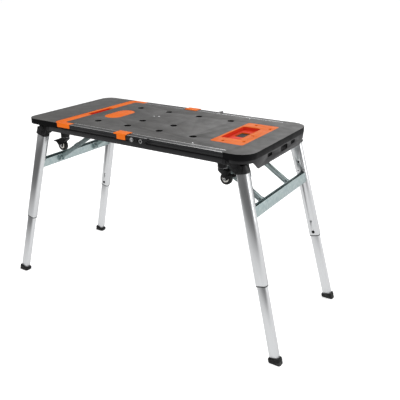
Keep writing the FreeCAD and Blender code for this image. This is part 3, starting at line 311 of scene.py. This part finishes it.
finish("deck_panel", deck_plastic, 0.0016, 3)
finish("end_slab", deck_plastic, 0.0016, 3)
finish("grip_insert", orange_plastic, 0.0008)
finish("tool_tray", orange_plastic, 0.0012, 3)
finish("handle_frame", orange_plastic, 0.0016, 3)
finish("rail_clips", orange_plastic, 0.0008)
finish("right_end_apron", black_plastic, 0.001)
finish("deck_screws", fastener, 0.0003)
finish("cross_members", black_coat, 0.001)
finish("end_plates", black_coat, 0.0008)
finish("brace_guides", zinc, 0.0005)
finish("leg_brackets", black_coat, 0.0008)
finish("hinge_pins", black_coat, 0.0006)
finish("latch_bases", black_plastic, 0.0006)
finish("caster_mounts", black_coat, 0.0015, 3)
for face_name in FACES:
    finish("side_channel_" + face_name, black_coat, 0.0008)
    finish("slide_rail_" + face_name, rail_black, 0.0006)
    finish("latch_lever_" + face_name, black_plastic, 0.0006)
for end_name in ENDS:
    finish("leg_caps_" + end_name, black_plastic, 0.0014, 3)
    finish("leg_collars_" + end_name, black_plastic, 0.0008)
    finish("leg_gussets_" + end_name, leg_metal[(end_name, "back")], 0.0004)
    finish("crossbar_" + end_name, zinc, 0.0007)
    finish("brace_" + end_name, zinc, 0.0005)
    for face_name in FACES:
        tag = "%s_%s" % (face_name, end_name)
        finish("upper_leg_" + tag, leg_metal[(end_name, face_name)], 0.0003)
        finish("lower_leg_" + tag, leg_metal[(end_name, face_name)], 0.0003)
        finish("foot_" + tag, black_rubber, 0.0012, 3)
        finish("lock_button_" + tag, gloss_black, 0.0008, 3)
        finish("caster_fork_" + tag, black_coat, 0.0008)
        finish("caster_wheel_" + tag, black_rubber, 0.0006)
        finish("brake_pedal_" + tag, black_coat, 0.0005)

# ---------------------------------------------------------------- mesh helpers, in millimetres


def frame_at(origin, z_axis, x_axis):
    """A frame with its Z and X axes given, in millimetres."""
    z_axis, x_axis = Vector(z_axis).normalized(), Vector(x_axis).normalized()
    rotation = Matrix((x_axis, z_axis.cross(x_axis), z_axis)).transposed().to_4x4()
    return Matrix.Translation(Vector(origin)) @ rotation


def upright(x, y, z):
    return Matrix.Translation((x, y, z))


def facing(origin, direction):
    """A frame whose Z points along a direction."""
    direction = Vector(direction).normalized()
    return Matrix.Translation(Vector(origin)) @ direction.to_track_quat("Z", "Y").to_matrix().to_4x4()


def lathe(profile, segments=32):
    """Turned shape from (radius, height) points, closed at both ends."""
    mesh = bmesh.new()
    rings = []
    for radius, height in profile:
        if radius == 0.0:
            rings.append([mesh.verts.new((0, 0, height))])
            continue
        ring = []
        for step in range(segments):
            angle = 2 * math.pi * step / segments
            ring.append(mesh.verts.new((radius * math.cos(angle), radius * math.sin(angle), height)))
        rings.append(ring)
    for lower, upper in zip(rings, rings[1:]):
        for step in range(segments):
            after = (step + 1) % segments
            corners = [lower[step % len(lower)], lower[after % len(lower)],
                       upper[after % len(upper)], upper[step % len(upper)]]
            corners = list(dict.fromkeys(corners))
            if len(corners) > 2:
                mesh.faces.new(corners)
    for ring in (rings[0], rings[-1]):
        if len(ring) > 2:
            mesh.faces.new(ring)
    bmesh.ops.recalc_face_normals(mesh, faces=mesh.faces)
    return mesh


def ring_shape(inner, outer, low, high, ease=0.3, segments=40):
    """Flat ring with eased edges."""
    profile = [(inner, low), (outer - ease, low), (outer, low + ease), (outer, high - ease),
               (outer - ease, high), (inner, high)]
    mesh = bmesh.new()
    rings = []
    for radius, height in profile:
        rings.append([mesh.verts.new((radius * math.cos(2 * math.pi * step / segments),
                                      radius * math.sin(2 * math.pi * step / segments), height))
                      for step in range(segments)])
    for index, ring in enumerate(rings):
        following = rings[(index + 1) % len(rings)]
        for step in range(segments):
            after = (step + 1) % segments
            mesh.faces.new((ring[step], ring[after], following[after], following[step]))
    bmesh.ops.recalc_face_normals(mesh, faces=mesh.faces)
    return mesh


def prism(outline, low, high, hole=None):
    """Outline in X and Y, extruded along Z."""
    mesh = bmesh.new()
    bottom = [mesh.verts.new((x, y, low)) for x, y in outline]
    top = [mesh.verts.new((x, y, high)) for x, y in outline]
    count = len(outline)
    if hole is None:
        mesh.faces.new(bottom)
        mesh.faces.new(top)
    else:
        hole_bottom = [mesh.verts.new((x, y, low)) for x, y in hole]
        hole_top = [mesh.verts.new((x, y, high)) for x, y in hole]
        for index in range(count):
            after = (index + 1) % count
            mesh.faces.new((bottom[index], bottom[after], hole_bottom[after], hole_bottom[index]))
            mesh.faces.new((top[index], top[after], hole_top[after], hole_top[index]))
            mesh.faces.new((hole_bottom[index], hole_bottom[after], hole_top[after], hole_top[index]))
    for index in range(count):
        after = (index + 1) % count
        mesh.faces.new((bottom[index], bottom[after], top[after], top[index]))
    bmesh.ops.recalc_face_normals(mesh, faces=mesh.faces)
    return mesh


def rounded(x_low, y_low, x_high, y_high, radius, steps=6):
    """Points of a rectangle with round corners."""
    points = []
    left, right = x_low + radius, x_high - radius
    near, far = y_low + radius, y_high - radius
    quarters = ((right, far, 0), (left, far, 90), (left, near, 180), (right, near, 270))
    for centre_x, centre_y, start in quarters:
        for step in range(steps + 1):
            angle = math.radians(start + 90.0 * step / steps)
            points.append((centre_x + radius * math.cos(angle), centre_y + radius * math.sin(angle)))
    return points


def block(low, high):
    outline = [(low[0], low[1]), (high[0], low[1]), (high[0], high[1]), (low[0], high[1])]
    return prism(outline, low[2], high[2])


def hexagon(radius):
    return [(radius * math.cos(math.radians(60 * step)), radius * math.sin(math.radians(60 * step)))
            for step in range(6)]


def merge(parts):
    """Several meshes, each with its own frame, in one."""
    whole = bmesh.new()
    for mesh, matrix in parts:
        mesh.transform(matrix)
        data = bpy.data.meshes.new("part")
        mesh.to_mesh(data)
        mesh.free()
        whole.from_mesh(data)
        bpy.data.meshes.remove(data)
    return whole


def piece(name, mesh, material, body, matrix=None, ease=0.0, segments=2):
    """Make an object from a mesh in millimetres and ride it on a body."""
    if matrix is not None:
        mesh.transform(matrix)
    mesh.transform(Matrix.Scale(MM, 4))
    data = bpy.data.meshes.new(name)
    mesh.to_mesh(data)
    mesh.free()
    obj = bpy.data.objects.new(name, data)
    bpy.context.scene.collection.objects.link(obj)
    data.materials.append(material)
    for polygon in data.polygons:
        polygon.use_smooth = True
    if ease:
        bevel = obj.modifiers.new("edges", "BEVEL")
        bevel.width = ease * MM
        bevel.segments = segments
        bevel.limit_method = "ANGLE"
        bevel.angle_limit = math.radians(35)
        bevel.harden_normals = True
    else:
        data.set_sharp_from_angle(angle=math.radians(40))
    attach(obj, body)
    return obj


def dome(radius, height):
    """Rivet head: low dome with a short skirt."""
    profile = [(radius, -0.4), (radius, 0.15 * height)]
    for step in range(1, 5):
        angle = math.radians(90.0 * step / 5)
        profile.append((radius * math.cos(angle), height * (0.15 + 0.85 * math.sin(angle))))
    profile.append((0.0, height))
    return lathe([(0.0, -0.4)] + profile, 20)


def bolt(radius, height):
    """Hex head with a chamfered crown on a washer."""
    head = prism(hexagon(radius), 1.0, height)
    crown = lathe([(0.0, height - 0.05), (radius * 0.86, height - 0.05), (radius * 0.78, height + 0.35),
                   (0.0, height + 0.35)], 24)
    washer = ring_shape(radius * 0.3, radius * 1.35, 0.0, 1.0, 0.2, 28)
    still = Matrix.Identity(4)
    return merge([(head, still), (crown, still), (washer, still)])


# ---------------------------------------------------------------- frames of the leaning parts

PIVOT = {end: Vector(joints[end + "_leg_fold"]["pos_m"]) * 1000 for end in ENDS}
LEG_OFFSET = 10.0
LEG_ROW = 238.4
LEG_THICK = 30.0
BUTTON_DOWN = 431.0
FOOT_BAND_STARTS = (748.0, 752.5)
FLANGE_ROW = 229.0


def leg_frame(end, face):
    """Leg frame, as in the CAD model: X outboard in the folding plane, Z down the leg."""
    down = -LEG_AXIS[(end, face)]
    side = ENDS[end]
    lean = Vector((down.x, 0, down.z)).normalized()
    out = Vector((-lean.z * side, 0, lean.x * side))
    origin = PIVOT[end] + out * LEG_OFFSET
    origin.y = FACES[face] * LEG_ROW
    return frame_at(origin, down, out)


def hinge_frame(end):
    """Frame on the hinge line: X outboard in the folding plane, Z down it."""
    down = -LEG_AXIS[(end, "back")]
    side = ENDS[end]
    lean = Vector((down.x, 0, down.z)).normalized()
    return frame_at(PIVOT[end], lean, Vector((-lean.z * side, 0, lean.x * side)))


def corners():
    for end in ENDS:
        for face in FACES:
            yield end, face, "%s_%s" % (face, end)


# ---------------------------------------------------------------- legs

for end, face, tag in corners():
    body = "leg_frame_" + end
    place = leg_frame(end, face)
    inward = ENDS[end] * FACES[face]
    metal = leg_metal[(end, face)]
    # The sketch plane of a face plate: X along the leg frame's X, Y down the leg.
    face_plate = place @ Matrix(((1, 0, 0, 0), (0, 0, inward, 0), (0, 1, 0, 0), (0, 0, 0, 1)))
    cap_face = 17.45
    cover = prism(rounded(-23, 3, 24, 40, 5.0), cap_face, cap_face + 1.4)
    piece("gusset_cover_" + tag, cover, metal, body, face_plate, 0.4)
    gusset_face = LEG_THICK / 2 + 2.0
    heads = [(dome(3.4, 2.2), face_plate @ upright(x, s, gusset_face)) for x, s in ((-10, 141), (16, 137))]
    heads.append((dome(3.4, 2.2), face_plate @ upright(15, 14, cap_face + 1.4)))
    piece("gusset_rivets_" + tag, merge(heads), fastener, body)
    lip = prism(rounded(-27.6, -17.9, 27.6, 17.9, 8.5), 12.0, 20.6, rounded(-25.6, -16.6, 25.6, 16.6, 7.0))
    piece("cap_lip_" + tag, lip, black_plastic, body, place, 0.5)
    button_ring = ring_shape(5.3, 7.2, LEG_THICK / 2 - 0.2, LEG_THICK / 2 + 0.7, 0.3)
    piece("button_bezel_" + tag, button_ring, black_plastic, body,
          face_plate @ upright(0, BUTTON_DOWN, 0))
    bands = []
    for start in FOOT_BAND_STARTS:
        outer = rounded(-25.7, -17.7, 25.7, 17.7, 9.5)
        inner = rounded(-24.0, -16.0, 24.0, 16.0, 8.0)
        bands.append((prism(outer, start, start + 2.0, inner), place.copy()))
    piece("foot_bands_" + tag, merge(bands), black_rubber, "lower_leg_" + tag, None, 0.4)

for end in ENDS:
    body = "leg_frame_" + end
    place = hinge_frame(end)
    for side in (-1, 1):
        flange_y = side * FLANGE_ROW
        flange = prism(rounded(4.5, 153.0, 27.5, 191.5, 2.0), -1.2, 1.2)
        matrix = place @ Matrix(((1, 0, 0, 0), (0, 0, side, flange_y), (0, 1, 0, 0), (0, 0, 0, 1)))
        piece("bar_flange_%s_%d" % (end, side), flange, zinc, body, matrix, 0.3)
        rivets = [(dome(3.0, 1.8), matrix @ Matrix.Rotation(math.pi, 4, "Y") @ upright(-16, s, 1.2))
                  for s in (163.0, 181.0)]
        piece("bar_rivets_%s_%d" % (end, side), merge(rivets), fastener, body)

# ---------------------------------------------------------------- braces

BRACE_ROW = 119.0
BRACE_TOP_X, BRACE_TOP_Z = 290.0, 736.5
ROD_END = 127.0
LAP_START, LAP_END = 0.40, 0.54
for end in ENDS:
    side = ENDS[end]
    low = Vector(joints[end + "_brace_turn"]["pos_m"]) * 1000
    high = Vector((side * BRACE_TOP_X, 0, BRACE_TOP_Z))
    along = (high - low).normalized()
    length = (high - low).length
    for row, y in (("front", -BRACE_ROW), ("back", BRACE_ROW)):
        plates = []
        matrix = frame_at(low + Vector((0, y, 0)), Vector((0, 1, 0)), along)
        for facing_side in (-1, 1):
            start = 8.0 * facing_side
            thin = sorted((start, start + 1.4 * facing_side))
            lap = rounded(length * LAP_START, -10.5, length * LAP_END, 9.5, 8.0)
            plates.append((prism(lap, thin[0], thin[1]), matrix))
            for step in (0.43, 0.51):
                head = facing(matrix @ Vector((length * step, 0, start + 1.4 * facing_side)),
                              matrix.to_3x3() @ Vector((0, 0, facing_side)))
                plates.append((dome(4.0, 1.6), head))
        piece("brace_lap_%s_%s" % (end, row), merge(plates), zinc, "brace_" + end, None, 0.2)
    caps = []
    for facing_side in (-1, 1):
        point = high + Vector((0, facing_side * ROD_END, 0))
        caps.append((dome(6.0, 2.4), facing(point, (0, facing_side, 0))))
    piece("rod_caps_" + end, merge(caps), fastener, "brace_" + end)

# ---------------------------------------------------------------- casters

MOUNT_FLANGE_Z, RACE_Z = 738.0, 714.0
AXLE = {tag: Vector(joints[tag + "_wheel_spin"]["pos_m"]) * 1000 for _, _, tag in corners()}
SWIVEL = {tag: Vector(joints[tag + "_caster_swivel"]["pos_m"]) * 1000 for _, _, tag in corners()}
for end, face, tag in corners():
    axle, swivel, outboard = AXLE[tag], SWIVEL[tag], ENDS[end]
    for side in (-1, 1):
        hub = facing(axle, (0, side, 0))
        disc = ring_shape(3.4, 13.6, 6.2, 8.9, 0.6)
        piece("hub_ring_%s_%d" % (tag, side), disc, hub_plastic, "caster_wheel_" + tag, hub)
        nut = bolt(4.8, 3.2)
        piece("axle_nut_%s_%d" % (tag, side), nut, fastener, "caster_fork_" + tag,
              hub @ upright(0, 0, 15.6), 0.15)
    race = ring_shape(6.4, 18.6, 0.0, 1.6, 0.5)
    piece("swivel_race_" + tag, race, fastener, "caster_fork_" + tag,
          upright(swivel.x, swivel.y, RACE_Z))
    bolts = []
    for x in (-34.0, 34.0):
        for y in (-9.0, 9.0):
            bolts.append((bolt(3.6, 3.4), facing((swivel.x + x, swivel.y + y, MOUNT_FLANGE_Z), (0, 0, -1))))
    piece("mount_bolts_" + tag, merge(bolts), fastener, "table", None, 0.12)
    treads = []
    for step in range(4):
        x = axle.x + outboard * (28.0 + 3.6 * step)
        tread = block((-0.9, -13.5, 0.0), (0.9, 13.5, 1.0))
        treads.append((tread, upright(x, axle.y, axle.z + 19.0 - 0.1 * step)))
    piece("pedal_treads_" + tag, merge(treads), black_rubber, "brake_pedal_" + tag, None, 0.25)

# ---------------------------------------------------------------- deck and frame

PLATE_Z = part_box("end_plates")[0].z * 1000
for end in ENDS:
    bolts = []
    for x in (368.0, 450.0):
        for y in (-150.0, -60.0, 60.0, 150.0):
            bolts.append((bolt(5.0, 4.2), facing((ENDS[end] * x, y, PLATE_Z), (0, 0, -1))))
    piece("plate_bolts_" + end, merge(bolts), fastener, "table", None, 0.15)
    for face in FACES:
        rows = sorted((FACES[face] * 255.5, FACES[face] * 267.2))
        ends = sorted((ENDS[end] * 438.0, ENDS[end] * 452.0))
        cap = block((ends[0], rows[0], 748.6), (ends[1], rows[1], 768.9))
        piece("channel_cap_%s_%s" % (face, end), cap, black_plastic, "table", None, 1.6, 3)

RAIL_START, RAIL_END = -304.0, 446.0
LATCH_Z, LATCH_PIVOT_X, LATCH_PIVOT_Z = 783.0, 84.0, 784.0
LATCH_BOLTS = (("left", 36.0, bright, "zinc_steel"), ("right", 58.0, black_coat, "black_steel"))
for face in FACES:
    side = FACES[face]
    screw = (dome(3.6, 1.3), upright(289.0, side * 229.0, TOP_MM))
    piece("rail_screw_" + face, merge([screw]), fastener, "table")
    # Painted highlight: thin bright steel bands along each rail's top edges stand for the light those edges
    # catch.
    highlight_strips = []
    for near, far in ((242.8, 245.0), (271.4, 273.6)):
        rows = sorted((side * near, side * far))
        highlight_strip = block((RAIL_START + 3, rows[0], TOP_MM - 0.2), (RAIL_END - 3, rows[1], TOP_MM + 0.25))
        highlight_strips.append((highlight_strip, Matrix.Identity(4)))
    piece("rail_highlight_lines_" + face, merge(highlight_strips), bright, "handle")
    for label, x, metal, slot in LATCH_BOLTS:
        washer = (ring_shape(3.0, 9.0, 0.0, 1.0, 0.2), facing((x, side * 278.4, LATCH_Z), (0, side, 0)))
        socket = (bolt(4.8, 3.2), facing((x, side * 281.3, LATCH_Z), (0, side, 0)))
        piece("latch_bolt_%s_%s" % (face, label), merge([washer, socket]), metal, "table", None, 0.15)
    piece("latch_pin_head_" + face, dome(3.4, 1.8), black_plastic, "table",
          facing((LATCH_PIVOT_X, side * 284.8, LATCH_PIVOT_Z), (0, side, 0)))
    knob = ring_shape(4.6, 8.2, 0.0, 1.2, 0.4)
    piece("latch_knob_ring_" + face, knob, bright, "latch_lever_" + face,
          facing((LATCH_PIVOT_X, side * 283.6, LATCH_PIVOT_Z), (0, side, 0)))

# Painted shade: deep red liners in the tray's recess, its rests and the finger recess, and a black sheet in
# the tray's well, where there is only shade.
RECESS = (332.3, -95.7, 413.7, 95.7)
RECESS_FLOOR, SHADE_LINER_TOP = TOP_MM - 13.4, TOP_MM - 1.2
still = Matrix.Identity(4)
recess_edge = rounded(*RECESS, 9.7)
inner_edge = rounded(RECESS[0] + 0.6, RECESS[1] + 0.6, RECESS[2] - 0.6, RECESS[3] - 0.6, 9.1)
well_edge = rounded(347.6, -18.4, 398.4, 52.4, 8.4)
tray_floor = prism(recess_edge, RECESS_FLOOR - 0.58, RECESS_FLOOR, well_edge)
tray_walls = prism(recess_edge, RECESS_FLOOR, SHADE_LINER_TOP, inner_edge)
piece("tray_shade_liner", merge([(tray_floor, still), (tray_walls, still)]), painted_shade_red, "table")
well_shade_sheet = prism(rounded(348.3, -17.7, 397.7, 51.7, 7.7), TOP_MM - 18.9, TOP_MM - 18.2)
piece("tray_well_shade", well_shade_sheet, black_rubber, "table")
REST_PLACES = ((368, -138), (368, 138), (444, -112), (444, 112), (434, -20))
rests = [(lathe([(0.0, -0.3), (6.8, -0.3), (6.8, 0.3), (0.0, 0.3)], 28), upright(x, y, TOP_MM - 14.7))
         for x, y in REST_PLACES]
piece("tray_rest_shade_pads", merge(rests), painted_shade_red, "table")
# Painted shade: a deep red liner on the finger recess's floor and wall.
FINGER_FLOOR = TOP_MM - 12.0
finger = [(prism(rounded(-383.7, -74.7, -358.3, 74.7, 3.7), FINGER_FLOOR, FINGER_FLOOR + 0.5), still),
          (block((-383.9, -70.5, FINGER_FLOOR + 0.5), (-383.2, 70.5, TOP_MM - 1.4)), still)]
piece("finger_recess_shade_liner", merge(finger), painted_shade_red, "handle")

# Collars under the clamp holes.
HOLE_START, HOLE_PITCH, HOLE_ROW, MIDDLE_ROW = -252.0, 164.0, 150.0, -48.0
places = [(column, y) for column in range(4) for y in (-HOLE_ROW, HOLE_ROW)]
places += [(column, MIDDLE_ROW) for column in (1, 2)]
collars = [(ring_shape(15.02, 18.0, 772.3, 789.2, 0.6), upright(HOLE_START + HOLE_PITCH * column, y, 0))
           for column, y in places]
piece("hole_collars", merge(collars), black_plastic, "table")

# Painted shade: black walls behind the hand hold and the slots, inside the end apron, stand for the shade
# seen through them.
shade_walls = [(block((531, low_y, 731), (534, high_y, 771.5)), still)
          for low_y, high_y in ((-8, 84), (-122, -50), (86, 156))]
piece("apron_shade_walls", merge(shade_walls), black_plastic, "table", None, 0.5)

# ---------------------------------------------------------------- studio


def studio():
    """Pale floor, a softly graded sky and three large lights."""
    mesh = bpy.data.meshes.new("floor")
    reach = 60.0
    mesh.from_pydata([(-reach, -reach, 0), (reach, -reach, 0), (reach, reach, 0), (-reach, reach, 0)],
                     [], [(0, 1, 2, 3)])
    floor = bpy.data.objects.new("floor", mesh)
    bpy.context.scene.collection.objects.link(floor)
    mesh.materials.append(floor_material())

    world = bpy.data.worlds.new("studio")
    bpy.context.scene.world = world
    sky = Tree("sky", world)
    height, across, depth = sky.direction()
    level = sky.span(height, 0.0, 0.9, 0.55, 0.62)
    level = sky.math("ADD", level, sky.span(depth, -0.9, 0.6, -0.40, 0.25))
    level = sky.math("ADD", level, sky.span(across, -0.8, 0.8, -0.12, 0.16))
    seen = sky.add("ShaderNodeLightPath").outputs["Is Camera Ray"]
    sky.feed(sky.shader, "Color", colour(1.0, 1.0, 1.0))
    sky.feed(sky.shader, "Strength", sky.math("ADD", level, sky.math("MULTIPLY", seen, 1.2)))

    for name, place, target, width, power in (
            ("key", (-1.2, -2.2, 3.4), (0.0, 0.0, 0.6), 1.6, 70.0),
            ("side", (3.4, 0.6, 1.8), (0.2, 0.0, 0.4), 1.6, 34.0),
            ("back", (-0.6, 3.2, 2.8), (0.0, 0.0, 0.6), 2.4, 40.0)):
        light = bpy.data.lights.new(name, "AREA")
        light.size = width
        light.energy = power
        lamp = bpy.data.objects.new(name, light)
        lamp.location = place
        lamp.rotation_euler = (Vector(target) - Vector(place)).to_track_quat("-Z", "Y").to_euler()
        bpy.context.scene.collection.objects.link(lamp)
    bpy.context.scene.view_settings.view_transform = "Standard"


def floor_material():
    """Pale to the camera, and a floor that darkens towards the front in what the metal reflects."""
    tree = Tree("floor")
    x, y, z = tree.parts(tree.add("ShaderNodeNewGeometry").outputs["Position"])
    grade = tree.span(tree.math("ADD", y, tree.math("MULTIPLY", x, 0.25)), -1.75, -0.45, 0.16, 1.0)
    reflected = tree.add("ShaderNodeEmission", None, Strength=grade)
    seen = tree.add("ShaderNodeLightPath").outputs["Is Glossy Ray"]
    tree.set(Base_Color=colour(0.93, 0.93, 0.93), Roughness=0.9, Emission_Color=colour(1.0, 1.0, 1.0),
             Emission_Strength=0.45)
    both = tree.add("ShaderNodeMixShader", None, i0=seen, i1=tree.shader, i2=reflected)
    tree.feed(tree.output, "Surface", both)
    return tree.material


def camera():
    """Seen from the front right, a little above the deck."""
    azimuth, elevation, distance = math.radians(32.52), math.radians(21.70), 2.432
    target = Vector((0.176, 0.0, 0.465))
    away = Vector((math.sin(azimuth) * math.cos(elevation), -math.cos(azimuth) * math.cos(elevation),
                   math.sin(elevation)))
    data = bpy.data.cameras.new("camera")
    data.sensor_width = 36.0
    data.lens = 49.82
    data.clip_end = 100.0
    eye = bpy.data.objects.new("camera", data)
    roll = Matrix.Rotation(math.radians(-0.11), 4, "Z")
    turn = away.to_track_quat("Z", "Y").to_matrix().to_4x4()
    eye.matrix_world = Matrix.Translation(target + away * distance) @ turn @ roll
    bpy.context.scene.collection.objects.link(eye)
    bpy.context.scene.camera = eye


studio()
camera()
